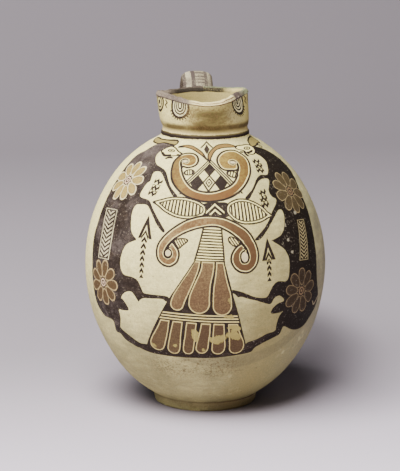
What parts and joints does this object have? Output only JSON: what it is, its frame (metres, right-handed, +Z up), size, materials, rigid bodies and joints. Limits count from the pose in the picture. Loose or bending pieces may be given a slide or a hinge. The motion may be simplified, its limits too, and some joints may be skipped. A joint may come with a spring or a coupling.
{
  "type": "painted pottery jug",
  "caption": "Round-bodied fired-clay jug, hollow, with a low foot, a short neck, a three-lobed pouring lip and a strap handle, painted with a tree and goats.",
  "frame": {"origin": "centre of the foot's underside, on the floor", "axes": "+Z up along the jug's axis; the pouring lip points to -Y and the handle is at +Y"},
  "size_m": [0.25, 0.25, 0.3376],
  "materials": {
    "painted_clay": "matt cream slip with painted decoration in brown-black, red-brown and ochre"
  },
  "bodies": {
    "root": {"jug": "painted_clay"}
  },
  "joints": []
}
